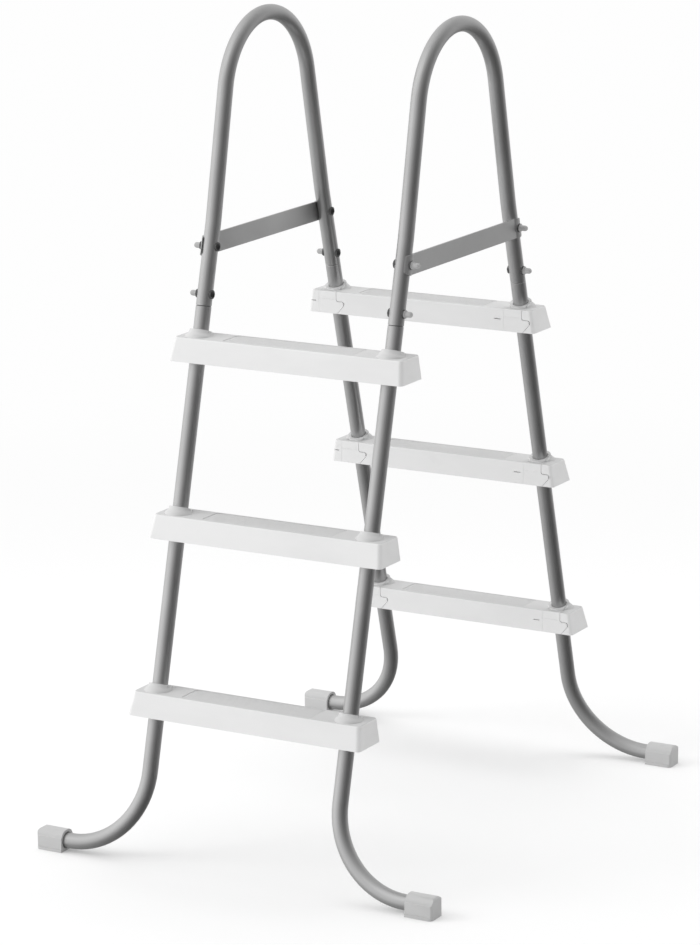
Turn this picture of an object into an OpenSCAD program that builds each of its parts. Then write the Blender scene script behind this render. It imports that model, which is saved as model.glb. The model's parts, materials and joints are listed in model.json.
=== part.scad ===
// Free-standing A-frame ladder for stepping over the wall of an above-ground pool.
// X runs along the steps, -Y is the outer (near) ladder, +Y the ladder in the water, Z is up.
// The origin is on the floor, midway between the four feet.

/* [Steps] */
// Height of the lowest tread above the floor
first_rise = 303; // [240:1:380]
// Height from one tread to the next
step_pitch = 305; // [240:1:380]
// Depth of the tread, pool side to outer side
tread_w = 63; // [56:1:90]
// How far the outer face runs out from the tread down to the lower edge
step_flare = 12.5; // [4:0.5:20]
// Height of a step moulding
step_h = 42; // [34:1:60]
// Distance from the tube axis at mid height to the pool-side face
step_inner = 37.5; // [32:0.5:48]
// How far each end face runs out from the tread down to the lower edge
end_flare = 6; // [2:0.5:12]
// Wall of a step moulding
step_wall = 3; // [2:0.25:4.5]
// Thickness of the ribs under a step
rib_t = 2.4; // [1.6:0.2:4]
// Cross ribs between the two tubes of a step
rib_count = 6; // [3:1:10]
// Clearance around the leg in a step and its locks
step_fit = 0.3; // [0.1:0.05:0.6]
// Wall of the sleeve that carries the leg through a step
sleeve_wall = 4; // [3:0.25:6]
// Height of the half collar on the outer side of each leg
collar_h = 13; // [6:0.5:20]
// How far the half collar spreads at its foot
collar_spread = 12; // [6:0.5:14]
// Height of the low rim on the pool side of each leg
rim_h = 5; // [1:0.5:6]
// Distance from a leg to the end of the sunk tread panel
panel_margin = 60; // [45:1:90]
// Depth of the sunk tread panel
panel_depth = 1; // [0.5:0.1:2]
// Long grip ribs on the tread panel
grip_count = 6; // [3:1:9]
// Share of the tread panel that its grooves take
groove_share = 0.7; // [0.4:0.05:0.8]
// Bevel along the upper edges of a step
edge_cut = 2.1; // [1:0.1:2.5]

/* [Step locks] */
// Wall of a lock beside the leg on its plain side
lock_plain_wall = 5.7; // [4.5:0.1:8]
// Wall of a lock beside the leg on its tongue side
lock_seam_wall = 2.2; // [1.8:0.1:3]
// How far a lock stops short of the middle of the leg
lock_split = 1.5; // [1:0.1:3]
// Gap between a lock and the step
lock_gap = 0.2; // [0.1:0.05:0.4]
// How far the lock's tongue reaches past its seam
tongue_reach = 16; // [12:0.5:18]
// Depth of the tongue's upper edge below the tread
tongue_drop = 19; // [14:0.5:22]
// Height of the tongue's blunt tip
tongue_tip = 7; // [5:0.5:8]
// Slant across the tongue's corners
tongue_slant = 3; // [2:0.5:4]
// How far the tongue's lower edge starts past the seam
tongue_foot = 2; // [1:0.5:4]
// Distance from the tongue's tip to the end of the tread
tongue_to_end = 3.5; // [1:0.5:6]
// Diameter of the release notch at the tongue's tip
notch_d = 3.6; // [2.6:0.2:4]
// Diameter of the peg that keys a lock into the leg
peg_d = 6; // [4:0.5:8]
// Depth of the peg below the tread
peg_drop = 23.5; // [18:0.5:26]
// Clearance around the peg
peg_fit = 0.2; // [0.1:0.05:0.5]

/* [Frame] */
// Distance between the side frames, tube centre to tube centre
frame_gap = 388; // [320:1:500]
// Outer diameter of the frame tube
tube_d = 28; // [24:0.5:34]
// Wall of the frame tube
tube_wall = 1.5; // [1:0.1:2.5]
// Lean of the legs from upright, in degrees
leg_lean = 14.6; // [12:0.1:18]
// Lean of the side rails above the brace, in degrees
rail_lean = 11.8; // [6:0.1:12]
// Radius of the arch over a side frame, to the tube's centre line
arch_r = 146; // [110:1:190]
// Height from the top tread to the brace bolts
tread_to_brace = 153; // [130:1:200]
// Height from the brace bolts to the top of the arch
brace_to_top = 405; // [360:1:520]
// Height from the brace bolts to the knee where the lean changes
brace_to_knee = 44; // [40:1:70]

/* [Rail joints] */
// Height from the joint bolts to the brace bolts
bolt_pitch = 82; // [60:1:110]
// How far a rail runs on below its joint bolt
rail_tail = 20; // [14:1:40]
// How far a leg's reduced end runs on above the brace bolt
plug_tail = 18; // [12:1:24]
// Gap between a leg's reduced end and the rail's bore
plug_fit = 0.1; // [0.05:0.05:0.3]
// Open seam between a rail's end and the leg's shoulder
seam_gap = 0.4; // [0.2:0.1:1]

/* [Braces] */
// Height of a brace strap
brace_w = 36; // [28:1:46]
// Thickness of a brace strap
brace_t = 3; // [2:0.5:4]
// Gap between a brace's saddle and the rail
brace_fit = 0.05; // [0.02:0.01:0.2]

/* [Bolts] */
// Bolt diameter
bolt_d = 6; // [5:0.5:8]
// Clearance around a bolt in the tubes, straps and saddles
bolt_fit = 0.3; // [0.1:0.05:0.6]
// Clearance around a bolt's thread in its cap nut
thread_fit = 0.05; // [0.02:0.01:0.1]
// Diameter of a bolt's domed head
head_d = 10.5; // [9:0.5:15]
// Height of a bolt's domed head
head_h = 3.5; // [3:0.5:6]
// Diameter of a cap nut's barrel
nut_d = 10.5; // [9:0.5:14]
// Diameter of a cap nut's flange
nut_flange_d = 15; // [12:0.5:20]
// Thickness of a cap nut's flange
nut_flange_t = 1.6; // [1:0.2:3]
// Length of a cap nut
nut_l = 15; // [12:0.5:20]
// Diameter of the curved washers
saddle_d = 16; // [13:0.5:20]
// Thickness of a curved washer at its middle
saddle_t = 1.5; // [1:0.25:3]

/* [Feet] */
// Radius of the outward bend at the foot of a leg
foot_bend_r = 148; // [110:1:180]
// Bare tube between that bend and the foot cap
foot_neck = 8; // [4:1:30]
// Length of a foot cap
foot_len = 53; // [45:1:80]
// Thickness of a foot cap under the tube
foot_base = 4.5; // [3:0.25:8]
// Wall of a foot cap beside and above the tube
foot_wall = 5.8; // [3:0.2:9]
// Thickness of a foot cap's closed end
foot_end = 5; // [3:0.5:10]
// How far a foot cap's sole stands out at each side
sole_lip = 1.2; // [0.5:0.1:3]
// Height of that sole
sole_h = 7; // [4:0.5:10]
// Corner radius of a foot cap's closed end
foot_round = 9; // [4:0.5:14]
// Clearance between a foot cap and the tube
foot_fit = 0.1; // [0.05:0.05:0.3]

/* [Hidden] */
$fn = 64;

// Slack that carries a cut clear of the face it opens
eps = 0.5;

tube_r = tube_d / 2;
bore_r = tube_r - tube_wall;
plug_r = bore_r - plug_fit;
plug_bore_r = plug_r - tube_wall;
half_gap = frame_gap / 2;

// Heights above the floor
low_z = first_rise;
mid_z = low_z + step_pitch;
top_z = mid_z + step_pitch;
brace_z = top_z + tread_to_brace;
joint_z = brace_z - bolt_pitch;
rail_end_z = joint_z - rail_tail;
knee_z = brace_z + brace_to_knee;
arch_z = brace_z + brace_to_top - tube_r - arch_r;
foot_z = foot_base + tube_r;
bend_z = foot_z + foot_bend_r * cos(leg_lean);

// The tube's centre line on the +Y side
arch_end_y = arch_r * cos(rail_lean);
arch_end_z = arch_z + arch_r * sin(rail_lean);
knee_y = arch_end_y + (arch_end_z - knee_z) * tan(rail_lean);
function leg_y(z) = knee_y + (knee_z - z) * tan(leg_lean);
function along_leg(rise) = rise / cos(leg_lean);
knee_turn = leg_lean - rail_lean;
upper_limb = (arch_end_z - knee_z) / cos(rail_lean);
lower_limb = along_leg(knee_z - rail_end_z);
foot_y = leg_y(bend_z) + foot_bend_r * sin(leg_lean);

// Step moulding, about the tube axis at mid height
step_bore_r = tube_r + step_fit;
sleeve_r = step_bore_r + sleeve_wall;
tread_outer = tread_w - step_inner;
lock_plain = step_bore_r + lock_plain_wall;
lock_seam = step_bore_r + lock_seam_wall;
tongue_x = lock_seam + tongue_reach;
step_half = half_gap + tongue_x + tongue_to_end;

// Places children on the leg axis at height z, their +Z up along the leg
module on_leg(z) {
    translate([0, leg_y(z), z]) rotate([leg_lean, 0, 0]) children();
}

// Puts what is drawn for the rear right corner, at the tube's own x, on any corner
module corner(front, left) {
    turn = front ? 180 : 0;
    flip = front != left ? 1 : 0;
    rotate([0, 0, turn]) mirror([flip, 0, 0]) translate([half_gap, 0, 0]) children();
}

module all_corners() {
    for (front = [false, true])
        for (left = [false, true])
            corner(front, left) children();
}

// ---- Side frames ----

// Bar of radius r from a mitre in the plane y = 0, leaning over towards +X
module mitred_bar(r, len) {
    big = 2 * (len + tube_d);
    intersection() {
        rotate([0, 0, -knee_turn / 2]) {
            rotate([-90, 0, 0]) cylinder(r = r, h = len);
            rotate([90, 0, 0]) cylinder(r = r, h = tube_d);
        }
        translate([-big / 2, 0, -big / 2]) cube(big);
    }
}

// The +Y half of a side rail's inverted U, as a bar of radius r
module half_rail_bar(r, tail) {
    big = 4 * (brace_to_top + bolt_pitch);
    past_top = 1;
    intersection() {
        translate([0, knee_y, knee_z]) rotate([90, 0, 90]) rotate([0, 0, rail_lean + knee_turn / 2]) {
            mitred_bar(r, upper_limb);
            rotate([0, 0, -knee_turn / 2]) translate([-arch_r, upper_limb, 0])
                rotate_extrude(angle = 90 - rail_lean + past_top) translate([arch_r, 0]) circle(r);
            mirror([0, 1, 0]) mitred_bar(r, lower_limb + tail);
        }
        translate([-big / 2, 0, 0]) cube(big);
    }
}

module bolt_hole(z, r) {
    translate([-tube_d, leg_y(z), z]) rotate([0, 90, 0]) cylinder(r = r, h = 2 * tube_d);
}

module frame_bolt_holes() {
    bolt_hole(brace_z, bolt_d / 2 + bolt_fit);
    bolt_hole(joint_z, bolt_d / 2 + bolt_fit);
}

module top_rail() {
    color("silver")
        for (side = [0, 1])
            mirror([0, side, 0]) difference() {
                half_rail_bar(tube_r, 0);
                half_rail_bar(bore_r, eps);
                frame_bolt_holes();
            }
}

// Foot bend and run-out of a leg from the bend's start, as a bar of radius r
module foot_bar(r, run) {
    translate([foot_bend_r, 0, 0]) rotate([90, 0, 0]) rotate([0, 0, 180])
        rotate_extrude(angle = 90) translate([foot_bend_r, 0]) circle(r);
    translate([foot_bend_r, 0, -foot_bend_r]) rotate([0, 90, 0]) cylinder(r = r, h = run);
}

// Hole in the pool-side wall of a leg for the peg of a step lock
module peg_hole(tread_z) {
    z = tread_z - peg_drop;
    translate([0, leg_y(z), z]) rotate([90, 0, 0]) cylinder(d = peg_d + 2 * peg_fit, h = tube_d);
}

// Leg with its reduced upper end, its outward foot bend and its peg holes
module leg() {
    shoulder = along_leg(rail_end_z - bend_z) - seam_gap - tube_wall;
    run = foot_neck + foot_len - foot_end;
    plug_len = along_leg(brace_z - rail_end_z) + seam_gap + tube_wall + plug_tail;
    color("silver") difference() {
        on_leg(bend_z) {
            cylinder(r = tube_r, h = shoulder);
            translate([0, 0, shoulder]) cylinder(r1 = tube_r, r2 = plug_r, h = tube_wall);
            translate([0, 0, shoulder]) cylinder(r = plug_r, h = plug_len);
            foot_bar(tube_r, run);
        }
        on_leg(bend_z) {
            cylinder(r = bore_r, h = shoulder - tube_wall);
            translate([0, 0, shoulder - 2 * tube_wall])
                cylinder(r = plug_bore_r, h = plug_len + 3 * tube_wall);
            foot_bar(bore_r, run + eps);
        }
        frame_bolt_holes();
        for (tread_z = [low_z, mid_z, top_z])
            peg_hole(tread_z);
    }
}

// ---- Braces ----

saddle_in_r = tube_r + brace_fit;
saddle_out_r = saddle_in_r + brace_t;
strap_x = tube_r - brace_t;

module brace_outline() {
    square([2 * leg_y(brace_z), brace_w], center = true);
    for (side = [-1, 1])
        translate([side * leg_y(brace_z), 0]) circle(d = brace_w);
}

// Strap from front to rear along the outside of a side frame, saddled over both rails
module brace() {
    reach = 2 * (leg_y(brace_z) + brace_w);
    color("darkgray") difference() {
        intersection() {
            translate([strap_x, 0, brace_z]) rotate([90, 0, 90])
                linear_extrude(saddle_out_r) brace_outline();
            union() {
                translate([strap_x, -reach / 2, brace_z - brace_w]) cube([brace_t, reach, 2 * brace_w]);
                saddle_bars(saddle_out_r);
            }
        }
        saddle_bars(saddle_in_r);
        for (side = [0, 1])
            mirror([0, side, 0]) bolt_hole(brace_z, bolt_d / 2 + bolt_fit);
    }
}

// Round bars along both rails where the brace crosses them
module saddle_bars(r) {
    for (side = [0, 1])
        mirror([0, side, 0]) on_leg(brace_z)
            translate([0, 0, -1.5 * brace_w]) cylinder(r = r, h = 3 * brace_w);
}

// ---- Bolts, cap nuts and curved washers ----

joint_seat_x = tube_r + saddle_t;
brace_seat_x = saddle_out_r + saddle_t;

// Turns a part drawn up +Z to point outwards at the bolt height z
module outwards(z) {
    translate([0, leg_y(z), z]) rotate([0, 90, 0]) children();
}

// Domed-head bolt: head on the inner side, tip inside the cap nut
module bolt(z, outer_seat) {
    dome_r = (head_d * head_d / 4 + head_h * head_h) / (2 * head_h);
    tip = outer_seat + nut_l - nut_d / 2;
    color("dimgray") outwards(z) {
        translate([0, 0, -joint_seat_x]) cylinder(d = bolt_d, h = joint_seat_x + tip);
        intersection() {
            translate([0, 0, -joint_seat_x - head_h + dome_r]) sphere(dome_r);
            translate([0, 0, -joint_seat_x - head_h]) cylinder(d = head_d, h = head_h);
        }
    }
}

module cap_nut(z, seat) {
    barrel = nut_l - nut_d / 2;
    color("gainsboro") outwards(z) translate([0, 0, seat]) difference() {
        union() {
            cylinder(d = nut_flange_d, h = nut_flange_t);
            cylinder(d = nut_d, h = barrel);
            translate([0, 0, barrel]) sphere(d = nut_d);
        }
        translate([0, 0, -eps]) cylinder(r = bolt_d / 2 + thread_fit, h = barrel + 2 * eps);
    }
}

// Washer that is flat on one side and hollowed to sit on a bar of radius r along the leg
module curved_washer(z, r, inner) {
    turn = inner ? 180 : 0;
    edge = sqrt(r * r - saddle_d * saddle_d / 4);
    color("dimgray") difference() {
        outwards(z) rotate([turn, 0, 0]) translate([0, 0, edge - saddle_t])
            cylinder(d = saddle_d, h = r + 2 * saddle_t - edge);
        on_leg(z) translate([0, 0, -saddle_d]) cylinder(r = r + brace_fit, h = 2 * saddle_d);
        bolt_hole(z, bolt_d / 2 + bolt_fit);
    }
}

// ---- Steps ----

// Runs children, drawn on the leg axis with +Z up along it, through both legs of a step
module step_legs() {
    for (x = [-half_gap, half_gap])
        translate([x, 0, 0]) step_leg() children();
}

// The leg axis through a step whose tread is at z = 0 and whose mid height is over y = 0
module step_leg() {
    translate([0, 0, -step_h / 2]) rotate([leg_lean, 0, 0]) children();
}

// Cross-section of a step in Y and Z, shrunk by wall on every face but the open bottom
module step_section(wall) {
    low = wall > 0 ? -step_h - eps : -step_h;
    cut = wall > 0 ? 0 : edge_cut;
    lean = step_flare / step_h;
    in_y = -step_inner + wall;
    out_y = tread_outer - wall;
    polygon([[in_y, low], [in_y, -wall - cut], [in_y + cut, -wall], [out_y - cut, -wall],
        [out_y + cut * lean, -wall - cut], [out_y - (low + wall) * lean, low]]);
}

// Lengthwise outline of a step in X and Z, shrunk the same way
module step_outline(wall) {
    low = wall > 0 ? -step_h - eps : -step_h;
    cut = wall > 0 ? 0 : edge_cut;
    lean = end_flare / step_h;
    end = step_half - wall;
    polygon([for (s = [-1, 1], p = s < 0
        ? [[end - (low + wall) * lean, low], [end + cut * lean, -wall - cut], [end - cut, -wall]]
        : [[end - cut, -wall], [end + cut * lean, -wall - cut], [end - (low + wall) * lean, low]])
        [s * p[0], p[1]]]);
}

module step_block(wall) {
    half = step_half + end_flare + eps;
    intersection() {
        rotate([90, 0, 90]) translate([0, 0, -half]) linear_extrude(2 * half) step_section(wall);
        rotate([90, 0, 0]) translate([0, 0, -2 * tread_w])
            linear_extrude(4 * tread_w) step_outline(wall);
    }
}

// Half collar that rises around the outer side of a leg
module half_collar() {
    top_r = sleeve_r;
    rise = along_leg(step_h / 2 + collar_h);
    base = along_leg(step_h / 2) - step_wall;
    step_leg() intersection() {
        translate([0, 0, base])
            cylinder(r1 = top_r + collar_spread, r2 = top_r, h = rise - base);
        translate([-2 * tube_d, 0, 0]) cube([4 * tube_d, 4 * tube_d, rise]);
    }
}

// Low rim around the pool side of a leg
module inner_rim() {
    step_leg() intersection() {
        cylinder(r = sleeve_r - sleeve_wall / 3, h = along_leg(step_h / 2 + rim_h));
        translate([-2 * tube_d, -4 * tube_d + eps, 0]) cube([4 * tube_d, 4 * tube_d, 2 * step_h]);
    }
}

// Face of a lock seen from the pool side, grown by gap where it meets the step
module lock_face(gap) {
    side = -lock_plain - gap;
    seam = lock_seam + gap;
    tip = tongue_x + gap;
    high = gap > 0 ? eps : 0;
    low = -step_h - gap;
    upper = -tongue_drop + gap;
    polygon([[side, low], [side, high], [seam, high],
        [seam, upper + tongue_slant], [seam + tongue_slant, upper],
        [tip - tongue_slant, upper], [tip, upper - tongue_slant],
        [tip, -tongue_drop - tongue_tip], [seam + tongue_foot, low]]);
}

// Space of a lock in a step: its face with the tongue, and the block round the leg behind it
module lock_space(gap) {
    translate([0, -step_inner - gap, 0]) {
        rotate([90, 0, 0]) mirror([0, 0, 1])
            linear_extrude(step_wall + 2 * gap) lock_face(gap);
        translate([-lock_plain - gap, 0, -step_h - gap])
            cube([lock_plain + lock_seam + 2 * gap, step_inner - lock_split + 2 * gap,
                step_h + 2 * collar_h + gap]);
    }
}

// Hollow of a lock between its face and the leg
module lock_hollow() {
    lean_run = step_h / 2 * tan(leg_lean);
    deep = step_inner - step_wall - sleeve_r - lean_run;
    translate([-lock_plain + step_wall, -step_inner + step_wall, -step_h - eps])
        cube([lock_plain + lock_seam - 2 * step_wall, deep, step_h - step_wall + eps]);
}

module lock_peg() {
    axis_y = (peg_drop - step_h / 2) * tan(leg_lean);
    inside = axis_y - bore_r + tube_wall;
    translate([0, -step_inner, -peg_drop]) rotate([-90, 0, 0])
        cylinder(d = peg_d, h = step_inner + inside);
}

// Snap-in lock that closes a step's pocket over the leg and keys into the leg
module step_lock() {
    color("whitesmoke") union() {
        difference() {
            intersection() {
                union() {
                    step_block(0);
                    inner_rim();
                    half_collar();
                }
                lock_space(0);
            }
            step_leg() translate([0, 0, -step_h]) cylinder(r = step_bore_r, h = 3 * step_h);
            lock_hollow();
            release_notch();
        }
        lock_peg();
    }
}

module release_notch() {
    translate([tongue_x, -step_inner - eps, -tongue_drop - tongue_tip / 2])
        rotate([-90, 0, 0]) cylinder(d = notch_d, h = step_wall + 2 * eps);
}

module step_ribs() {
    for (i = [1 : rib_count])
        translate([-half_gap + i * frame_gap / (rib_count + 1) - rib_t / 2, -2 * tread_w, -step_h])
            cube([rib_t, 4 * tread_w, step_h]);
    translate([-half_gap, -rib_t / 2, -step_h]) cube([frame_gap, rib_t, step_h]);
    for (x = [-half_gap, half_gap])
        translate([x - rib_t / 2, 0, -step_h]) cube([rib_t, 2 * tread_w, step_h]);
}

// Walls of the step around a lock's pocket, and the rib that backs its tongue
module pocket_walls() {
    left = -lock_plain - lock_gap - rib_t;
    right = lock_seam + lock_gap;
    back = -lock_split + 2 * lock_gap;
    for (x = [left, right])
        translate([x, -2 * tread_w, -step_h]) cube([rib_t, 2 * tread_w + back + rib_t, step_h]);
    translate([left, back, -step_h]) cube([right + rib_t - left, rib_t, step_h]);
    translate([right, -step_inner + step_wall, -step_h])
        cube([tongue_reach + tongue_to_end, rib_t, step_h]);
}

module tread_panel() {
    half = half_gap - panel_margin;
    wide = tread_w - 4 * edge_cut;
    pitch = wide / grip_count;
    first = (1 - groove_share) / 2;
    for (i = [0 : grip_count - 1])
        translate([-half, -step_inner + 2 * edge_cut + (i + first) * pitch, -panel_depth])
            cube([2 * half, groove_share * pitch, panel_depth + eps]);
}

// Hollow step moulding with a sleeve, a collar and a lock pocket at each leg
module step() {
    color("whitesmoke") difference() {
        union() {
            difference() {
                step_block(0);
                step_block(step_wall);
                tread_panel();
            }
            intersection() {
                step_block(0);
                union() {
                    step_legs() translate([0, 0, -step_h]) cylinder(r = sleeve_r, h = 2 * step_h);
                    step_ribs();
                    for (x = [-half_gap, half_gap])
                        translate([x, 0, 0]) pocket_walls();
                }
            }
            for (x = [-half_gap, half_gap])
                translate([x, 0, 0]) half_collar();
        }
        step_legs() translate([0, 0, -step_h]) cylinder(r = step_bore_r, h = 3 * step_h);
        for (x = [-half_gap, half_gap])
            translate([x, 0, 0]) {
                lock_space(lock_gap);
                release_notch();
            }
    }
}

module rear_step(tread_z) {
    translate([0, leg_y(tread_z - step_h / 2), tread_z]) step();
}

module front_step(tread_z) {
    rotate([0, 0, 180]) rear_step(tread_z);
}

module lock_at(tread_z, front, left) {
    turn = front ? 180 : 0;
    x = front == left ? half_gap : -half_gap;
    rotate([0, 0, turn]) translate([x, leg_y(tread_z - step_h / 2), tread_z]) step_lock();
}

// ---- Feet ----

module foot_section(lip) {
    r = tube_r + foot_wall;
    translate([0, foot_z]) circle(r);
    translate([-r, 0]) square([2 * r, foot_z]);
    translate([-r - lip, 0]) square([2 * (r + lip), sole_h]);
}

// Cap that closes the outward end of a leg and gives it a flat sole
module foot_cap() {
    wide = tube_r + foot_wall + sole_lip;
    start = foot_bend_r + foot_neck;
    color("lightgray") translate([start, foot_y, 0]) difference() {
        intersection() {
            rotate([90, 0, 90]) linear_extrude(foot_len) foot_section(sole_lip);
            linear_extrude(3 * foot_z) union() {
                translate([0, -wide]) square([foot_len - foot_round, 2 * wide]);
                translate([0, -wide + foot_round]) square([foot_len, 2 * (wide - foot_round)]);
                for (side = [-1, 1])
                    translate([foot_len - foot_round, side * (wide - foot_round)]) circle(foot_round);
            }
        }
        translate([-eps, 0, foot_z]) rotate([0, 90, 0])
            cylinder(r = tube_r + foot_fit, h = foot_len - foot_end + eps);
    }
}

mirror([1, 0, 0]) translate([half_gap, 0, 0]) top_rail();  // top_rail_left
translate([half_gap, 0, 0]) top_rail();  // top_rail_right
corner(true, true) leg();  // leg_front_left
corner(true, false) leg();  // leg_front_right
corner(false, true) leg();  // leg_rear_left
corner(false, false) leg();  // leg_rear_right
mirror([1, 0, 0]) translate([half_gap, 0, 0]) brace();  // brace_left
translate([half_gap, 0, 0]) brace();  // brace_right
front_step(low_z);  // step_front_low
front_step(mid_z);  // step_front_mid
front_step(top_z);  // step_front_top
rear_step(low_z);  // step_rear_low
rear_step(mid_z);  // step_rear_mid
rear_step(top_z);  // step_rear_top
lock_at(low_z, true, true);  // lock_front_low_left
lock_at(low_z, true, false);  // lock_front_low_right
lock_at(mid_z, true, true);  // lock_front_mid_left
lock_at(mid_z, true, false);  // lock_front_mid_right
lock_at(top_z, true, true);  // lock_front_top_left
lock_at(top_z, true, false);  // lock_front_top_right
lock_at(low_z, false, true);  // lock_rear_low_left
lock_at(low_z, false, false);  // lock_rear_low_right
lock_at(mid_z, false, true);  // lock_rear_mid_left
lock_at(mid_z, false, false);  // lock_rear_mid_right
lock_at(top_z, false, true);  // lock_rear_top_left
lock_at(top_z, false, false);  // lock_rear_top_right
corner(true, true) foot_cap();  // foot_front_left
corner(true, false) foot_cap();  // foot_front_right
corner(false, true) foot_cap();  // foot_rear_left
corner(false, false) foot_cap();  // foot_rear_right
all_corners() bolt(brace_z, brace_seat_x);  // brace_bolts
all_corners() bolt(joint_z, joint_seat_x);  // joint_bolts
all_corners() cap_nut(brace_z, brace_seat_x);  // brace_cap_nuts
all_corners() cap_nut(joint_z, joint_seat_x);  // joint_cap_nuts
all_corners() {  // inner_saddles
    curved_washer(brace_z, tube_r, true);
    curved_washer(joint_z, tube_r, true);
}
all_corners() curved_washer(joint_z, tube_r, false);  // joint_saddles
all_corners() curved_washer(brace_z, saddle_out_r, false);  // brace_saddles
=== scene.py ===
"""A-frame pool ladder: moulded steps and their locks, foot caps, straps and fasteners on a bent tube frame."""
import json
import math

import bpy
from mathutils import Matrix, Vector

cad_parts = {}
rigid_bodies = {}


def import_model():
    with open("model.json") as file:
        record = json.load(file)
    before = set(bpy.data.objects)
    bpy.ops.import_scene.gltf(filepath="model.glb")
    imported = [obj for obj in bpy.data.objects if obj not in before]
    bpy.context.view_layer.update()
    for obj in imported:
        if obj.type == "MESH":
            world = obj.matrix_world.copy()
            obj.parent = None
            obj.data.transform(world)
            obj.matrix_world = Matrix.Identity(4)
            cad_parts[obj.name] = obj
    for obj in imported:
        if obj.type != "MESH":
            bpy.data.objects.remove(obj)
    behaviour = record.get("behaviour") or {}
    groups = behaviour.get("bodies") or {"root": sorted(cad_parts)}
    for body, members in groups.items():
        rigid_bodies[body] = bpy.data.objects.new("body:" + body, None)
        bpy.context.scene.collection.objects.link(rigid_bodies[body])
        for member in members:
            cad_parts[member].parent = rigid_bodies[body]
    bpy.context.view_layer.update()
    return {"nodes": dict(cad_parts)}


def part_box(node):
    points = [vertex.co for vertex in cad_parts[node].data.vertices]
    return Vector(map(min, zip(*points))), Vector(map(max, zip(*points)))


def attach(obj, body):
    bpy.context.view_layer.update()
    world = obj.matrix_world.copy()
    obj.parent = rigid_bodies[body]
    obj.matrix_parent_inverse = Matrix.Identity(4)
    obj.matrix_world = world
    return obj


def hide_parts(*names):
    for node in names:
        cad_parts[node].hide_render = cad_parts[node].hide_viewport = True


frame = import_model()
MM = 0.001
SLACK = 0.05 * MM  # how close two places are to count as the same
PROUD = 1 * MM  # how far a cutting tool stands out of the face that it cuts

# ---- Sizes of the frame and its steps ----

LEVELS = ("low", "mid", "top")
SIDES = ("left", "right")
FLANKS = ("front", "rear")


def corners(node):
    """Lowest and highest corner of a CAD node."""
    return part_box(node)


rail_lo, rail_hi = corners("top_rail_right")
TUBE_R = (rail_hi.x - rail_lo.x) / 2
HALF_GAP = (rail_hi.x + rail_lo.x) / 2
TUBES = (-HALF_GAP, HALF_GAP)

STEP_H = 42 * MM
STEP_INNER = 37.5 * MM  # from the tubes to the pool side of a step
TREAD_W = 63 * MM
TREAD_OUT = TREAD_W - STEP_INNER
STEP_FLARE = 12.5 * MM  # how far the outer side slopes out from the tread to the foot of a step
END_FLARE = 6 * MM
STEP_WALL = 3 * MM


def step_place(level):
    """Where the middle of a rear step's tubes crosses its mid height, and the height of its tread."""
    lo, _ = corners("step_rear_" + level)
    return lo.y + STEP_INNER, lo.z + STEP_H


low_y, low_z = step_place("low")
top_y, top_z = step_place("top")
LEAN = math.atan2(low_y - top_y, top_z - low_z)
AXIS = Vector((0, -math.sin(LEAN), math.cos(LEAN)))
_, step_hi = corners("step_rear_low")
STEP_HALF = step_hi.x - END_FLARE


# ---- Shader expressions ----

class Socket:
    """A value in a node tree. Arithmetic on it adds Math nodes."""

    def __init__(self, owner, link):
        self.owner = owner
        self.link = link

    def math(self, operation, *values):
        return self.owner.node("ShaderNodeMath", {"operation": operation}, dict(enumerate(values)))

    def __add__(self, other):
        return self.math("ADD", self, other)

    def __mul__(self, other):
        return self.math("MULTIPLY", self, other)

    def __pow__(self, other):
        return self.math("POWER", self, other)

    __radd__ = __add__
    __rmul__ = __mul__

    def at_least(self, floor):
        return self.math("MAXIMUM", self, floor)

    def between(self, low, high):
        """0 below low, 1 above high and smooth in between."""
        values = {"Value": self, "From Min": low, "From Max": high}
        return self.owner.node("ShaderNodeMapRange", {"interpolation_type": "SMOOTHSTEP"}, values)


class Shading:
    """A node tree that starts empty."""

    def __init__(self, tree):
        self.tree = tree
        tree.nodes.clear()

    def node(self, kind, settings, values, output=0):
        """Adds a node with its settings and its sockets' values or links, and gives one of its outputs."""
        made = self.tree.nodes.new(kind)
        for key, setting in settings.items():
            setattr(made, key, setting)
        for key, value in values.items():
            if isinstance(value, Socket):
                self.tree.links.new(value.link, made.inputs[key])
            else:
                made.inputs[key].default_value = value
        return Socket(self, made.outputs[output])

    def show(self, kind, shader):
        """Joins a shader to an output node of this kind."""
        out = self.tree.nodes.new(kind)
        self.tree.links.new(shader.link, out.inputs["Surface"])


class Finish(Shading):
    """A procedural material on Object coordinates."""

    def __init__(self, name):
        self.material = bpy.data.materials.new(name)
        self.material.use_nodes = True
        super().__init__(self.material.node_tree)
        self.place = self.node("ShaderNodeTexCoord", {}, {}, "Object")

    def noise(self, scale, detail, stretch=(1, 1, 1)):
        """Noise of features about 1 / scale metres across, drawn out where stretch is under 1."""
        at = self.node("ShaderNodeMapping", {}, {"Vector": self.place, "Scale": stretch})
        return self.node("ShaderNodeTexNoise", {}, {"Vector": at, "Scale": scale, "Detail": detail})

    def mix(self, factor, first, second):
        """Colour that goes from first to second with factor."""
        values = {"Factor": factor, 6: first, 7: second}
        return self.node("ShaderNodeMix", {"data_type": "RGBA"}, values, 2)

    def bump(self, height, distance, strength, under=None):
        """Relief from height, on top of the relief under it."""
        values = {"Height": height, "Distance": distance, "Strength": strength}
        if under:
            values["Normal"] = under
        return self.node("ShaderNodeBump", {}, values)

    def surface(self, **sockets):
        """The finished material. Names have an underscore where the shader's socket has a space."""
        values = {key.replace("_", " "): value for key, value in sockets.items()}
        self.show("ShaderNodeOutputMaterial", self.node("ShaderNodeBsdfPrincipled", {}, values))
        return self.material


def grey(level):
    return (level, level, level, 1.0)


# ---- Finishes ----

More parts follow.
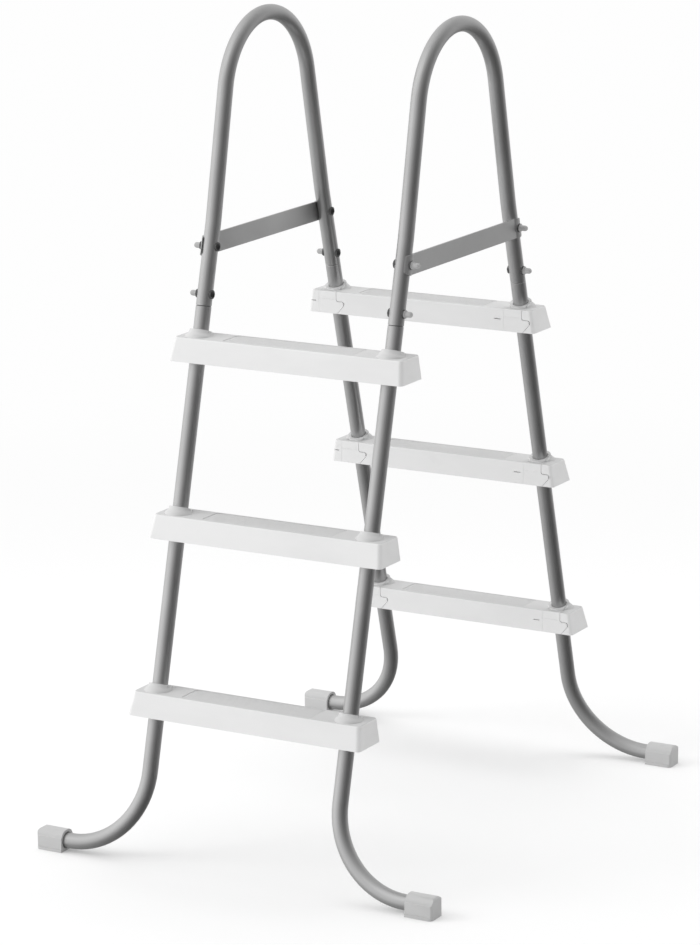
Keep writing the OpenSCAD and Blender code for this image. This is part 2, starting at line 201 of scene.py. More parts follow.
def tube_paint(name, level, roughness):
    """Satin metallic-grey powder coat: fine orange peel, faint cloudiness and light scuffs along the tube."""
    paint = Finish(name)
    cloud = paint.noise(9, 4)
    peel = paint.noise(620, 2)
    fleck = paint.noise(2600, 1)
    scuff = paint.noise(75, 5, (1, 1, 0.12)).between(0.66, 0.74)
    tone = paint.mix(cloud.between(0.3, 0.7), grey(level * 0.95), grey(level * 1.05))
    tone = paint.mix(fleck.between(0.45, 0.75) * 0.35, tone, grey(level * 1.35))
    tone = paint.mix(scuff * 0.3, tone, grey(level * 1.2))
    rough = roughness - 0.05 + cloud * 0.1 + scuff * 0.1
    normal = paint.bump(peel, 0.12 * MM, 0.25)
    return paint.surface(Base_Color=tone, Roughness=rough, Metallic=0.9, Normal=normal)


def moulded_plastic(name, level, roughness, grain=0.25):
    """Injection-moulded plastic: a fine spark grain, slight flow marks and a little handling grime."""
    plastic = Finish(name)
    flow = plastic.noise(16, 3, (0.35, 1, 1))
    grit = plastic.noise(1500, 2)
    sheen = plastic.noise(60, 3)
    grime = plastic.noise(28, 6).between(0.62, 0.8)
    tone = plastic.mix(flow.between(0.3, 0.7), grey(level * 0.975), grey(level * 1.02))
    tone = plastic.mix(grime * 0.25, tone, grey(level * 0.88))
    rough = roughness - 0.04 + sheen * 0.08
    normal = plastic.bump(grit, 0.08 * MM, grain)
    normal = plastic.bump(flow, 0.5 * MM, 0.06, normal)
    return plastic.surface(Base_Color=tone, Roughness=rough, Normal=normal, Specular_IOR_Level=0.5)


def zinc_steel(name, level):
    """Zinc-plated steel on a pressed bolt head, at the given grey level."""
    steel = Finish(name)
    cloud = steel.noise(120, 4)
    brushed = steel.noise(900, 3, (1, 0.2, 0.2))
    tone = steel.mix(cloud.between(0.35, 0.65), grey(level * 0.8), grey(level * 1.2))
    rough = 0.32 + cloud * 0.16
    normal = steel.bump(brushed, 0.05 * MM, 0.2)
    return steel.surface(Base_Color=tone, Roughness=rough, Metallic=0.9, Normal=normal)


# ---- Modelling helpers ----

def deselect():
    for other in bpy.context.scene.objects:
        other.select_set(False)


def active():
    return bpy.context.view_layer.objects.active


def focus(piece):
    """Makes piece the only one selected."""
    deselect()
    bpy.context.view_layer.objects.active = piece
    piece.select_set(True)


def seat(piece):
    """Puts the object's place into its mesh."""
    focus(piece)
    bpy.ops.object.transform_apply(location=True, rotation=True, scale=True)
    return piece


def edit(piece, kind, test):
    """Opens piece in edit mode with the faces or edges selected whose corners pass test."""
    focus(piece)
    mesh = piece.data
    for group in (mesh.vertices, mesh.edges, mesh.polygons):
        group.foreach_set("select", [False] * len(group))
    bpy.context.tool_settings.mesh_select_mode = (False, kind == "edge", kind == "face")
    for part in mesh.polygons if kind == "face" else mesh.edges:
        if test([mesh.vertices[i].co for i in part.vertices]):
            part.select = True
            for i in part.vertices:
                mesh.vertices[i].select = True
    bpy.ops.object.mode_set(mode="EDIT")


def done():
    bpy.ops.object.mode_set(mode="OBJECT")


def near(a, b):
    return abs(a - b) < SLACK


def level_at(height):
    """Test for edit: every corner lies at this height."""
    return lambda ends: all(near(co.z, height) for co in ends)


def upright(ends):
    """Test for edit: an edge that runs mainly upwards."""
    run = ends[1] - ends[0]
    return abs(run.z) > 0.8 * run.length


def box(low, high):
    """Cube primitive between two corners."""
    deselect()
    low, high = Vector(low), Vector(high)
    bpy.ops.mesh.primitive_cube_add(size=1, location=(low + high) / 2, scale=high - low)
    return seat(active())


def rod(radius, start, direction, length, sides=48):
    """Cylinder primitive from start along direction."""
    deselect()
    direction = Vector(direction).normalized()
    middle = Vector(start) + direction * length / 2
    turn = direction.to_track_quat("Z", "Y").to_euler()
    bpy.ops.mesh.primitive_cylinder_add(
        vertices=sides, radius=radius, depth=length, location=middle, rotation=turn)
    return seat(active())


def turned(rings, sides):
    """Solid of revolution about Z from (radius, height) rings: a disc drawn up ring by ring."""
    deselect()
    last, height = rings[0]
    bpy.ops.mesh.primitive_circle_add(vertices=sides, radius=last, fill_type="NGON", location=(0, 0, height))
    piece = seat(active())
    bpy.ops.object.mode_set(mode="EDIT")
    bpy.ops.mesh.select_all(action="SELECT")
    for radius, level in rings[1:]:
        bpy.ops.mesh.extrude_region_move(TRANSFORM_OT_translate={"value": (0, 0, level - height)})
        ratio = radius / last
        bpy.ops.transform.resize(value=(ratio, ratio, 1), center_override=(0, 0, level))
        last, height = radius, level
    outward()
    return piece


def outward():
    """Merges doubles and turns all faces outwards, from edit mode."""
    bpy.ops.mesh.select_all(action="SELECT")
    bpy.ops.mesh.remove_doubles(threshold=0.001 * MM)
    bpy.ops.mesh.normals_make_consistent(inside=False)
    done()


def bevel(piece, test, width, segments):
    """Rounds the edges that pass test."""
    edit(piece, "edge", test)
    bpy.ops.mesh.bevel(offset=width, segments=segments, profile=0.5, affect="EDGES", clamp_overlap=True)
    done()


def cut_off(piece, point, normal):
    """Cuts away what lies beyond a plane and closes the cut."""
    focus(piece)
    bpy.ops.object.mode_set(mode="EDIT")
    bpy.ops.mesh.select_all(action="SELECT")
    bpy.ops.mesh.bisect(plane_co=point, plane_no=normal, use_fill=True, clear_outer=True)
    outward()


def carve(piece, tool, operation="DIFFERENCE"):
    """Cuts, joins or trims piece with a tool that is then removed."""
    focus(piece)
    step = piece.modifiers.new("carve", "BOOLEAN")
    step.operation = operation
    step.solver = "MANIFOLD"
    step.object = tool
    bpy.ops.object.modifier_apply(modifier=step.name)
    bpy.data.objects.remove(tool)


def copied(piece, matrix):
    """A copy of piece with its own mesh, moved by matrix."""
    twin = piece.copy()
    twin.data = piece.data.copy()
    bpy.context.scene.collection.objects.link(twin)
    twin.data.transform(matrix)
    if matrix.determinant() < 0:
        twin.data.flip_normals()
    return twin


def joined(pieces):
    """Several pieces as one mesh."""
    deselect()
    for piece in pieces:
        piece.select_set(True)
    bpy.context.view_layer.objects.active = pieces[0]
    bpy.ops.object.join()
    return active()


def smooth(piece, angle=35):
    """Smooth shading over rounded edges, with flat faces kept flat."""
    focus(piece)
    bpy.ops.object.shade_smooth_by_angle(angle=math.radians(angle))
    weight = piece.modifiers.new("weight", "WEIGHTED_NORMAL")
    weight.keep_sharp = True
    bpy.ops.object.modifier_apply(modifier=weight.name)
    return piece


def coat(piece, *finishes):
    """Gives a piece its finishes, in place of the empty slots that carving leaves."""
    piece.data.materials.clear()
    for finish in finishes:
        piece.data.materials.append(finish)
    return piece


def finish_piece(piece, name, slot, *nodes):
    """Names a piece and stands it in for its CAD nodes. The slot argument is not used."""
    piece.name = name
    piece.data.name = name
    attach(piece, "root")
    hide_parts(*nodes)


# ---- Steps, drawn as a rear step with its tread at z = 0 and its mid height over y = 0 ----

BORE_R = TUBE_R + 0.5 * MM
SLEEVE_R = TUBE_R + 4.3 * MM
OUTER_ROUND = 8 * MM
INNER_ROUND = 6 * MM
EDGE_ROUND = 2.6 * MM
RIB = 2.4 * MM
BAYS = 7  # spaces between the cross ribs under a tread
PAST_FOOT = 4 * MM  # how far the hollow's tool reaches under the step

PANEL_HALF = HALF_GAP - 60 * MM
PANEL_DEEP = 1 * MM
PANEL_INNER = -STEP_INNER + 4.5 * MM
PANEL_OUTER = TREAD_OUT - 3.5 * MM
PANEL_ROUND = 9 * MM
PANEL_FLOOR = -PANEL_DEEP - 0.3 * MM  # a little under the lowest face of the tread
GRIPS = 9
GRIP_HALF = 1.1 * MM
GRIP_TOP = -0.25 * MM
GRIP_EDGE = 0.5 * MM
GRIP_SIDE = 3.5 * MM  # from the panel's long edge to the middle of a grip rib
GRIP_END = 7 * MM

COLLAR_OUTLINE = [  # (radius, height along the tube) in mm: a foot in the tread, a flare and a neck
    (28.5, -9), (26.6, -2), (24.6, 0.6), (22.6, 2.4), (21.0, 5.2), (20.1, 9), (19.5, 14), (19.1, 24),
]
COLLAR_LIP = 8.4 * MM
COLLAR_TILT = math.radians(19)
COLLAR_ROUND = 1.2 * MM
COLLAR_BACK = 21 * MM

SEAM = 0.9 * MM
PLAIN_SEAM = 0.3  # the seam beside the tread's end is this share of the others
LOCK_PLAIN = 20 * MM
LOCK_SEAM = 16.5 * MM
LOCK_SPLIT = 1.5 * MM
LOCK_ROUND = 4 * MM
LOCK_LOW = -STEP_H - 5 * MM
LOCK_HIGH = 30 * MM
POCKET_BACK = 6 * MM
TONGUE_X = 32.5 * MM
TONGUE_DROP = 19 * MM
TONGUE_TIP = 7 * MM
TONGUE_FOOT = 2 * MM
PEG_R = 3 * MM
PEG_ROOT = 1 * MM  # how deep in the lock's face the peg starts
PEG_DROP = 23.5 * MM
PEG_SHORT = 6 * MM  # how much less than the way to the tube's axis the peg is long

PLAIN_WALL_GAP = 0.4 * MM  # from each side of a lock to the step's wall beside it
SEAM_WALL_GAP = 0.5 * MM
SPLIT_WALL_GAP = 1 * MM
SPLIT_WALL_BACK = 2 * MM
BACKING = 2.9 * MM  # the wall behind the tongue, and how far it runs past the tip
BACKING_PAST = 6 * MM
BACKING_SUNK = 0.5 * MM

NOTCH_R = 1.7 * MM
NOTCH_TALL = 1.7  # height of the notch over its width
NOTCH_DROP = 3.6 * MM
NOTCH_DEEP = 2.2 * MM
NOTCH_PAST = 0.4 * MM
HOLE_R = 2.6 * MM
HOLE_ASIDE = 12.8 * MM
HOLE_INNER = 24.6 * MM
HOLE_DEEP = 12 * MM
SLIT_NEAR = 26 * MM  # the slit through the face beside a lock
SLIT_FAR = 39 * MM
SLIT_DROP = 20 * MM
SLIT_WIDE = 1.8 * MM
LINE_DROP = 15 * MM  # the fine line across a lock's face
LINE_WIDE = 0.6 * MM
LINE_DEEP = 0.45 * MM
LINE_END = 2.5 * MM


def step_block(shrink, top, bottom):
    """Flared step block with rounded corners, shrunk on every side."""
    def half(z):
        return STEP_HALF - END_FLARE * z / STEP_H - shrink

    def out(z):
        return TREAD_OUT - STEP_FLARE * z / STEP_H - shrink

    inner = -STEP_INNER + shrink
    close = 0.1 * MM

    def outer_corner(ends):
        return upright(ends) and ends[0].y > 0

    def inner_corner(ends):
        return upright(ends) and ends[0].y < inner + close and abs(ends[0].x) > half(top) - close

    block = box((-half(top), inner, bottom), (half(top), out(top), top))
    edit(block, "face", level_at(bottom))
    stretch = (half(bottom) / half(top), (out(bottom) - inner) / (out(top) - inner), 1)
    bpy.ops.transform.resize(value=stretch, center_override=(0, inner, bottom))
    done()
    bevel(block, outer_corner, OUTER_ROUND - shrink, 6)
    bevel(block, inner_corner, INNER_ROUND - shrink, 6)
    if not shrink:
        bevel(block, level_at(top), EDGE_ROUND, 4)
    return block


def leg_point(x, rise):
    """Point on the tube's axis at a height over the tread."""
    return Vector((x, 0, -STEP_H / 2)) + AXIS * ((rise + STEP_H / 2) / math.cos(LEAN))


def leg_bore(x):
    return rod(BORE_R, leg_point(x, -STEP_H * 2), AXIS, STEP_H * 4, 64)


def collar(x):
    """Flared half collar: high on the outer side of the tube and dying into the tread on the pool side."""
    mound = turned([(radius * MM, height * MM) for radius, height in COLLAR_OUTLINE], 64)
    foot = leg_point(x, 0)
    mound.data.transform(Matrix.Translation(foot) @ Matrix.Rotation(LEAN, 4, "X"))
    lip = leg_point(x, COLLAR_LIP)
    slope = Vector((0, -math.sin(COLLAR_TILT), math.cos(COLLAR_TILT)))
    cut_off(mound, lip, slope)
    bevel(mound, lambda ends: all(near((co - lip).dot(slope), 0) for co in ends), COLLAR_ROUND, 3)
    cut_off(mound, (0, foot.y - COLLAR_BACK, 0), (0, -1, 0))
    return mound


def lock_room(x, grow):
    """Room of a lock in a step: the block round the pool side of the tube and the tongue across the face."""
    face, back = -STEP_INNER - PROUD, -STEP_INNER + STEP_WALL
    seam, upper, tip = x + LOCK_SEAM + grow, -TONGUE_DROP + grow, x + TONGUE_X + grow
    room = box((x - LOCK_PLAIN - grow * PLAIN_SEAM, face, LOCK_LOW), (seam, -LOCK_SPLIT + grow, LOCK_HIGH))
    tongue = box((x, face, LOCK_LOW), (tip, back, upper))
    blunt = -TONGUE_DROP - TONGUE_TIP
    run, fall = tip - seam - TONGUE_FOOT, STEP_H + blunt
    cut_off(tongue, (tip, 0, blunt), Vector((fall, 0, -run)).normalized())
    bevel(tongue, lambda ends: all(near(co.z, upper) and near(co.x, tip) for co in ends), LOCK_ROUND, 6)
    carve(room, tongue, "UNION")
    inside = box((seam - PROUD, face, upper - PROUD), (seam + LOCK_ROUND, back, upper + LOCK_ROUND))
    middle = (seam + LOCK_ROUND, face - PROUD, upper + LOCK_ROUND)
    carve(inside, rod(LOCK_ROUND, middle, (0, 1, 0), 2 * LOCK_ROUND, 32))
    carve(room, inside, "UNION")
    return room


def step_ribs():
    """Cross ribs, middle rib, leg sleeves and the walls behind the locks, as one piece."""
    def wall(low_x, low_y, high_x, high_y):
        carve(ribs, box((low_x, low_y, -STEP_H), (high_x, high_y, 0)), "UNION")

    ribs = box((-HALF_GAP, -RIB / 2, -STEP_H), (HALF_GAP, RIB / 2, 0))
    for i in range(1, BAYS):
        at = -HALF_GAP + 2 * HALF_GAP * i / BAYS
        wall(at - RIB / 2, -TREAD_W, at + RIB / 2, TREAD_W)
    for x in TUBES:
        carve(ribs, rod(SLEEVE_R, leg_point(x, -STEP_H * 1.4), AXIS, STEP_H * 1.4), "UNION")
        left, right = x - LOCK_PLAIN - PLAIN_WALL_GAP - RIB, x + LOCK_SEAM + SEAM_WALL_GAP
        for side in (left, right):
            wall(side, -TREAD_W, side + RIB, SPLIT_WALL_BACK)
        wall(left, -LOCK_SPLIT + SPLIT_WALL_GAP, right + RIB, SPLIT_WALL_BACK)
        face = -STEP_INNER + STEP_WALL - BACKING_SUNK
        wall(right, face, x + TONGUE_X + BACKING_PAST, face + BACKING)
    return ribs


def tread_panel():
    """Tool for the sunk panel in the tread."""
    panel = box((-PANEL_HALF, PANEL_INNER, -PANEL_DEEP), (PANEL_HALF, PANEL_OUTER, 5 * MM))
    bevel(panel, upright, PANEL_ROUND, 8)
    return panel


def grip_rib(number):
    """One of the long ribs that stand in the sunk panel."""
    first, last = PANEL_INNER + GRIP_SIDE, PANEL_OUTER - GRIP_SIDE
    y, half = first + (last - first) * number / (GRIPS - 1), PANEL_HALF - GRIP_END
    rib = box((-half, y - GRIP_HALF, -PANEL_DEEP - PROUD), (half, y + GRIP_HALF, GRIP_TOP))
    bevel(rib, level_at(GRIP_TOP), GRIP_EDGE, 2)
    return rib


def step_moulding():
    """Hollow step with its ribs, a sunk tread with grip ribs and a collar at each tube."""
    step = step_block(0, 0, -STEP_H)
    carve(step, step_block(STEP_WALL, -STEP_WALL, -STEP_H - PAST_FOOT))
    ribs = step_ribs()
    carve(ribs, step_block(STEP_WALL / 2, -STEP_WALL / 2, -STEP_H), "INTERSECT")
    carve(step, ribs, "UNION")
    carve(step, tread_panel())
    for number in range(GRIPS):
        carve(step, grip_rib(number), "UNION")
    for x in TUBES:
        carve(step, collar(x), "UNION")
    return step


def is_tread(face):
    """Whether a face takes the darker tread finish: the upward ones except the rounded rim, and the sides
    inside the panel. That darker tone is partly the tread's grain and partly painted shade, so that every top
    reads darker than the fronts.
    """
    at, up = face.center, face.normal.z
    if at.z <= PANEL_FLOOR:
        return False
    sunk = at.z < -SLACK
    top = up > 0.2 and not (sunk and up < 0.75)
    margin = 0.1 * MM
    in_panel = abs(at.x) < PANEL_HALF and PANEL_INNER - margin < at.y < PANEL_OUTER + margin
    return top or (sunk and in_panel and abs(up) < 0.9)


def mark_treads(piece, plain, grain_and_shade):
    """Gives the tread's faces and the other upward faces the darker finish, partly grain and partly painted
    shade, and the rest the plain one.
    """
    coat(piece, plain, grain_and_shade)
    for face in piece.data.polygons:
        face.material_index = 1 if is_tread(face) else 0


def release_notch(x):
    """Tool for the upright notch at the tip of a lock's tongue."""
    at = Vector((x + TONGUE_X + NOTCH_PAST, -STEP_INNER - PROUD, -TONGUE_DROP - NOTCH_DROP))
    notch = rod(NOTCH_R, at, (0, 1, 0), PROUD + NOTCH_DEEP, 24)
    taller = Matrix.Diagonal((1, 1, NOTCH_TALL, 1))
    notch.data.transform(Matrix.Translation(at) @ taller @ Matrix.Translation(-at))
    return notch


def top_hole(x):
    """Tool for the small round hole in a lock's top, on the pool side of the tube."""
    return rod(HOLE_R, (x - HOLE_ASIDE, -HOLE_INNER, -HOLE_DEEP), (0, 0, 1), HOLE_DEEP + 10 * MM, 32)


def face_groove(start, end, drop, wide, deep):
    """Tool for a level groove in the pool-side face."""
    return box((start, -STEP_INNER - PROUD, -drop - wide / 2), (end, -STEP_INNER + deep, -drop + wide / 2))


def build_step():
    step = step_moulding()
    for x in TUBES:
        carve(step, lock_room(x, SEAM))
        carve(step, leg_bore(x))
        carve(step, release_notch(x))
        carve(step, face_groove(x - SLIT_FAR, x - SLIT_NEAR, SLIT_DROP, SLIT_WIDE, STEP_WALL + PROUD))
    mark_treads(step, step_white, tread_white_painted_shade)
    return smooth(step)


def build_lock(x):
    """Snap-in lock for the tube at x, cut from the same block as its step."""
    lock = step_block(0, 0, -STEP_H)
    carve(lock, collar(x), "UNION")
    carve(lock, lock_room(x, 0), "INTERSECT")
    carve(lock, leg_bore(x))
    pocket = box((x - LOCK_PLAIN + STEP_WALL, -STEP_INNER + STEP_WALL, -STEP_H - PROUD),
                 (x + LOCK_SEAM - STEP_WALL, -SLEEVE_R - POCKET_BACK, -STEP_WALL))
    carve(lock, pocket)
    peg = rod(PEG_R, (x, -STEP_INNER + PEG_ROOT, -PEG_DROP), (0, 1, 0), STEP_INNER - PEG_SHORT, 32)
    carve(lock, peg, "UNION")
    carve(lock, release_notch(x))
    carve(lock, top_hole(x))
    carve(lock, face_groove(x - LOCK_PLAIN - PROUD, x + LOCK_SEAM - LINE_END, LINE_DROP, LINE_WIDE, LINE_DEEP))
    mark_treads(lock, lock_white, tread_white_painted_shade)
    return smooth(lock)


def place_steps():
    step = build_step()
    locks = {"left": build_lock(-HALF_GAP), "right": build_lock(HALF_GAP)}
    for level in LEVELS:
        y, z = step_place(level)
        for flank in FLANKS:
            turn = Matrix.Rotation(math.pi if flank == "front" else 0, 4, "Z")
            at = turn @ Matrix.Translation((0, y, z))
            spot = flank + "_" + level
            finish_piece(copied(step, at), "step_moulding_" + spot, "step_plastic", "step_" + spot)
            for side in SIDES:
                own = side if flank == "rear" else SIDES[1 - SIDES.index(side)]
                finish_piece(copied(locks[own], at), "snap_lock_" + spot + "_" + side, "lock_plastic",
                             "lock_" + spot + "_" + side)
    for spare in (step, *locks.values()):
        bpy.data.objects.remove(spare)


# ---- Foot caps ----

FOOT_SOLE = 4.5 * MM
FOOT_SKIRT = 5.2 * MM  # height of the wider skirt round the sole
FOOT_ROUND = 7.5 * MM
FOOT_FIT = 1.2 * MM
FOOT_END = 5 * MM
FOOT_OUTLINE = [  # (inset from the skirt's side, height) in mm: upright side, shoulder, then the crown
    (1.2, 5.7), (1.4, 25.2), (1.8, 26.2), (2.5, 26.8), (3.4, 27.2),
    (3.7, 28.6), (5.4, 31.8), (8.2, 34.8), (12.2, 37.2), (16.7, 38.3),
]


def foot_body(lo, hi, middle):
    """Foot cap before its end is rounded: a skirt drawn up into the sides, the shoulders and the crown."""
    half = (hi.y - lo.y) / 2
    body = box((lo.x, middle - half, lo.z), (hi.x, middle + half, lo.z + FOOT_SKIRT))
    edit(body, "face", level_at(lo.z + FOOT_SKIRT))
    width, height = half, lo.z + FOOT_SKIRT
    for inset, rise in FOOT_OUTLINE:
        wide, top = half - inset * MM, lo.z + rise * MM
        bpy.ops.mesh.extrude_region_move(TRANSFORM_OT_translate={"value": (0, 0, top - height)})
        bpy.ops.transform.resize(value=(1, wide / width, 1), center_override=(0, middle, top))
        width, height = wide, top
    outward()
    return body


def build_foot_cap():
    """Rear right foot cap: upright sides, a crowned top between two shoulders and a rounded closed end."""
    lo, hi = corners("foot_rear_right")
    middle = (lo.y + hi.y) / 2
    past = 20 * MM

    def end_edge(ends):
        return all(near(co.x, hi.x) for co in ends) and max(co.z for co in ends) > lo.z

    cap = foot_body(lo, hi, middle)
    plan = box((lo.x - past, lo.y, lo.z - past), hi)
    bevel(plan, end_edge, FOOT_ROUND, 10)
    carve(cap, plan, "INTERSECT")
    mouth = (lo.x - PROUD, middle, lo.z + FOOT_SOLE + TUBE_R)
    carve(cap, rod(TUBE_R + FOOT_FIT, mouth, (1, 0, 0), hi.x - FOOT_END - mouth[0], 64))
    return smooth(cap, 40)


def place_feet():
    cap = build_foot_cap()
    for flank in FLANKS:
        for side in SIDES:
            flip = Matrix.Diagonal((1 if side == "right" else -1, 1 if flank == "rear" else -1, 1, 1))
            finish_piece(coat(copied(cap, flip), foot_grey), "foot_cap_" + flank + "_" + side,
                         "foot_plastic", "foot_" + flank + "_" + side)
    bpy.data.objects.remove(cap)


# ---- Brace straps ----

STRAP = 3 * MM
STRAP_FIT = 0.05 * MM
STRAP_EDGE = 0.7 * MM
WRAP = 60 * MM  # how far the tools along a tube reach each way from its bolt


def build_brace():
    """Right strap: a flat bar pressed round both tubes at its ends, with softened edges."""
    lo, hi = corners("brace_right")
    middle, half = (lo.z + hi.z) / 2, (hi.z - lo.z) / 2
    reach = hi.y - half
    inner, outer = HALF_GAP + TUBE_R - STRAP, hi.x + PROUD
    bar = box((inner, -reach, lo.z), (inner + STRAP, reach, hi.z))
    keep = box((inner, -reach, lo.z), (outer, reach, hi.z))
    bolts = [Vector((HALF_GAP, side * reach, middle)) for side in (-1, 1)]
    axes = [Vector((0, side * AXIS.y, AXIS.z)) for side in (-1, 1)]
    for bolt, axis in zip(bolts, axes):
        wrap = rod(TUBE_R + STRAP_FIT + STRAP, bolt - axis * WRAP, axis, 2 * WRAP, 96)
        carve(bar, wrap, "UNION")
        carve(keep, rod(half, (inner, bolt.y, middle), (1, 0, 0), outer - inner, 64), "UNION")
    longer = WRAP + 10 * MM
    for bolt, axis in zip(bolts, axes):
        carve(bar, rod(TUBE_R + STRAP_FIT, bolt - axis * longer, axis, 2 * longer, 96))
    carve(bar, keep, "INTERSECT")
    soften = bar.modifiers.new("edges", "BEVEL")
    soften.width = STRAP_EDGE
    soften.segments = 2
    soften.limit_method = "ANGLE"
    soften.angle_limit = math.radians(50)
    focus(bar)
    bpy.ops.object.modifier_apply(modifier=soften.name)
    return smooth(bar)


def place_braces():
    bar = build_brace()
    for side in SIDES:
        flip = Matrix.Diagonal((1 if side == "right" else -1, 1, 1, 1))
        strap = coat(copied(bar, flip), strap_grey)
        finish_piece(strap, "brace_strap_" + side, "strap_paint", "brace_" + side)
    bpy.data.objects.remove(bar)


# ---- Bolts and cap nuts ----

HEAD_R = 5.25 * MM
HEAD_H = 3.5 * MM
HEAD_RIM = 0.5 * MM
HEAD_FLAT = 0.6 * MM
SHANK_R = 3 * MM
SHANK_END = 38 * MM
RECESS_HALF = 2.5 * MM
RECESS_SLOT = 0.55 * MM
RECESS_DEEP = 2 * MM
WASHER = 1.5 * MM
NUT_FLANGE = 7.5 * MM
NUT_BARREL = 5.1 * MM
NUT_DOME = 9.75 * MM


def bolt_head():
    """Domed bolt head with a cross recess, its top at z = 0 and its shank under it."""
    rim = -HEAD_H + HEAD_RIM
    rings = [(SHANK_R, -SHANK_END), (SHANK_R, -HEAD_H), (HEAD_R - 0.2 * MM, -HEAD_H), (HEAD_R, rim)]
    for i in range(1, 8):
        angle = math.radians(i * 11.5)
        rings.append((HEAD_R * math.cos(angle), rim - rim * math.sin(angle)))
    rings.append((HEAD_FLAT, 0))
    head = turned(rings, 40)
    for turn in (0, math.pi / 2):
        slot = box((-RECESS_HALF, -RECESS_SLOT, -RECESS_DEEP), (RECESS_HALF, RECESS_SLOT, RECESS_DEEP))
        edit(slot, "face", level_at(-RECESS_DEEP))
        bpy.ops.transform.resize(value=(0.45, 0.8, 1), center_override=(0, 0, -RECESS_DEEP))
        done()
        slot.data.transform(Matrix.Rotation(turn, 4, "Z"))
        carve(head, slot)
    return smooth(head, 32)


def cap_nut():
    """Closed cap nut: a pressed flange, a barrel with a slight draft and a domed end, its seat at z = 0."""
    rings = [(NUT_FLANGE - 0.2 * MM, 0), (NUT_FLANGE, 0.35 * MM), (NUT_FLANGE, 1.2 * MM),
             (7.1 * MM, 1.6 * MM), (5.9 * MM, 1.75 * MM), (5.35 * MM, 2.3 * MM), (5.2 * MM, 3.4 * MM),
             (NUT_BARREL, 9.6 * MM)]
    for i in range(1, 9):
        angle = math.radians(i * 10.6)
        rings.append((NUT_BARREL * math.cos(angle), NUT_DOME + 5.2 * MM * math.sin(angle)))
    return smooth(turned(rings, 40), 32)


def set_out(part, x, y, z, inward):
    """Four copies of part at the corners (x, y) of the ladder, pointing inwards or outwards, as one piece."""
    copies = []
    for sx in (-1, 1):
        for sy in (-1, 1):
            facing = -sx if inward else sx
            turn = Matrix.Rotation(facing * math.pi / 2, 4, "Y")
            copies.append(copied(part, Matrix.Translation((sx * x, sy * y, z)) @ turn))
    return joined(copies)


def place_fasteners():
    """The bolts through the straps and those through the tube joints, each set with its nuts."""
    head, nut = bolt_head(), cap_nut()
    for place, strap in (("brace", STRAP + STRAP_FIT), ("joint", 0)):
        lo, hi = corners(place + "_bolts")
        y, z = hi.y - HEAD_R, (lo.z + hi.z) / 2
        bolts = set_out(head, HALF_GAP - TUBE_R - WASHER - HEAD_H, y, z, True)
        finish_piece(coat(bolts, bolt_dark_painted_shade), place + "_bolt_set", "bolt_steel", place + "_bolts")
        nuts = set_out(nut, HALF_GAP + TUBE_R + strap + WASHER, y, z, False)
        finish_piece(coat(nuts, nut_grey), place + "_cap_nut_set", "nut_plastic", place + "_cap_nuts")
    for spare in (head, nut):
        bpy.data.objects.remove(spare)


# ---- Studio ----

CAMERA_TURN = math.radians(29.74)
CAMERA_RISE = math.radians(13.75)
CAMERA_ROLL = math.radians(-0.58)
CAMERA_AIM = Vector((-30.7, 0, 628.5)) * MM
CAMERA_AWAY = 7.178
CAMERA_LENS = 150.5


def studio_floor():
    """Pale sweep: white plaster with its own soft glow, so that only soft shadows show on it."""
    deselect()
    bpy.ops.mesh.primitive_plane_add(size=60, location=(0, 0, 0))
    floor = active()
    floor.name = "studio_floor"
    white = Finish("studio_white")
    diffuse = white.node("ShaderNodeBsdfDiffuse", {}, {"Color": grey(0.94)})
    glow = white.node("ShaderNodeEmission", {}, {"Color": grey(1.0), "Strength": 0.99})
    distance = white.node("ShaderNodeVectorMath", {"operation": "LENGTH"}, {0: white.place}, "Value")
    share = distance.between(1.0, 3.5) * 0.78 + 0.22
    plaster = white.node("ShaderNodeMixShader", {}, {0: share, 1: diffuse, 2: glow})
    white.show("ShaderNodeOutputMaterial", plaster)
    floor.data.materials.append(white.material)
    floor.visible_glossy = False


def studio_air():
    """Surround light: bright on the left, softer behind, above and in front, and dark on the right."""
    world = bpy.data.worlds.new("studio")
    bpy.context.scene.world = world
    world.use_nodes = True
    air = Shading(world.node_tree)
    ray = air.node("ShaderNodeTexCoord", {}, {}, "Generated")

    def lobe(direction, power):
        """Light from one direction, narrower with a higher power."""
        dot = air.node("ShaderNodeVectorMath", {"operation": "DOT_PRODUCT"}, {0: ray, 1: direction}, "Value")
        return (dot * 0.5 + 0.5).at_least(0.0) ** power

    left = lobe((-0.94, -0.34, 0.0), 1.8) * 1.15
    back = lobe((0.25, 0.95, 0.1), 7.0) * 0.6
    above = lobe((0.0, 0.0, 1.0), 4.0) * 0.4
    front = lobe((-0.3, -0.6, 0.74), 30.0) * 0.4
    height = air.node("ShaderNodeSeparateXYZ", {}, {"Vector": ray}, "Z")
    strength = (left + back + above + front + 0.06) * (height.between(-0.8, 0.0) * 0.5 + 0.52)
    seen = air.node("ShaderNodeLightPath", {}, {}, "Is Camera Ray")
    level = air.node("ShaderNodeMix", {"data_type": "FLOAT"}, {"Factor": seen, 2: strength, 3: 1.0})
    glow = air.node("ShaderNodeBackground", {}, {"Color": grey(1.0), "Strength": level})
    air.show("ShaderNodeOutputWorld", glow)


def soft_box(name, place, aim, size, watts):
    """Square softbox at place that faces aim."""
    light = bpy.data.lights.new(name, "AREA")
    light.shape = "SQUARE"
    light.size = size
    light.energy = watts
    lamp = bpy.data.objects.new(name, light)
    lamp.location = place
    lamp.rotation_euler = (Vector(place) - Vector(aim)).to_track_quat("Z", "Y").to_euler()
    lamp.visible_glossy = False
    bpy.context.scene.collection.objects.link(lamp)


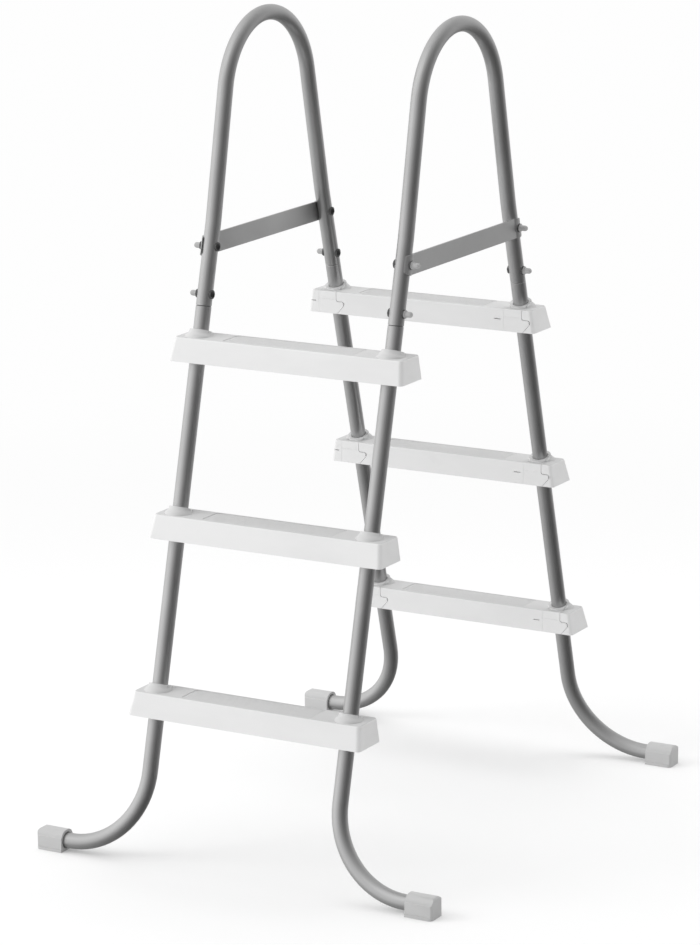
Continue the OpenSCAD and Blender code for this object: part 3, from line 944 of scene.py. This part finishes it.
def camera():
    """Long lens from the front right, a little above the steps."""
    flat = math.cos(CAMERA_RISE)
    back = Vector((math.sin(CAMERA_TURN) * flat, -math.cos(CAMERA_TURN) * flat, math.sin(CAMERA_RISE)))
    level = Vector((math.cos(CAMERA_TURN), math.sin(CAMERA_TURN), 0))
    upward = back.cross(level)
    right = level * math.cos(CAMERA_ROLL) + upward * math.sin(CAMERA_ROLL)
    up = upward * math.cos(CAMERA_ROLL) - level * math.sin(CAMERA_ROLL)
    lens = bpy.data.cameras.new("camera")
    lens.sensor_width = 36
    lens.lens = CAMERA_LENS
    eye = bpy.data.objects.new("camera", lens)
    spot = CAMERA_AIM + back * CAMERA_AWAY
    eye.matrix_world = Matrix.Translation(spot) @ Matrix((right, up, back)).transposed().to_4x4()
    bpy.context.scene.collection.objects.link(eye)
    bpy.context.scene.camera = eye


# ---- Scene ----

tube_grey = tube_paint("tube_grey_paint", 0.46, 0.33)
strap_grey = tube_paint("strap_grey_paint", 0.58, 0.48)
step_white = moulded_plastic("step_white_plastic", 0.77, 0.42)
# The tread finish is darker than the step white: partly a grained tread, partly painted shade that makes every
# upward face darker than the fronts.
tread_white_painted_shade = moulded_plastic("tread_grain_painted_shade_plastic", 0.62, 0.55, 0.6)
lock_white = moulded_plastic("lock_white_plastic", 0.77, 0.42)
foot_grey = moulded_plastic("foot_grey_plastic", 0.54, 0.3)
nut_grey = moulded_plastic("nut_grey_plastic", 0.42, 0.4)
saddle_grey = moulded_plastic("saddle_dark_plastic", 0.07, 0.5)
# The near-black level of the bolt heads is painted shade: they sit in shadow on the inner side of the tubes.
bolt_dark_painted_shade = zinc_steel("bolt_zinc_painted_shade", 0.06)

for node, own in frame["nodes"].items():
    if node.startswith(("top_rail", "leg_")):
        own.material_slots[0].material = tube_grey
    elif node.endswith("saddles"):
        own.material_slots[0].material = saddle_grey

place_steps()
place_feet()
place_braces()
place_fasteners()

studio_floor()
studio_air()
soft_box("key_light", (-3.2, -2.6, 2.6), (0, 0, 0.7), 2.4, 53)
soft_box("top_light", (0.2, 0.9, 4.2), (0, 0, 0), 2.6, 42)
soft_box("fill_light", (3.4, 1.8, 1.5), (0, 0, 0.7), 2.0, 18)
camera()
bpy.context.scene.view_settings.view_transform = "Standard"
bpy.context.scene.view_settings.look = "None"
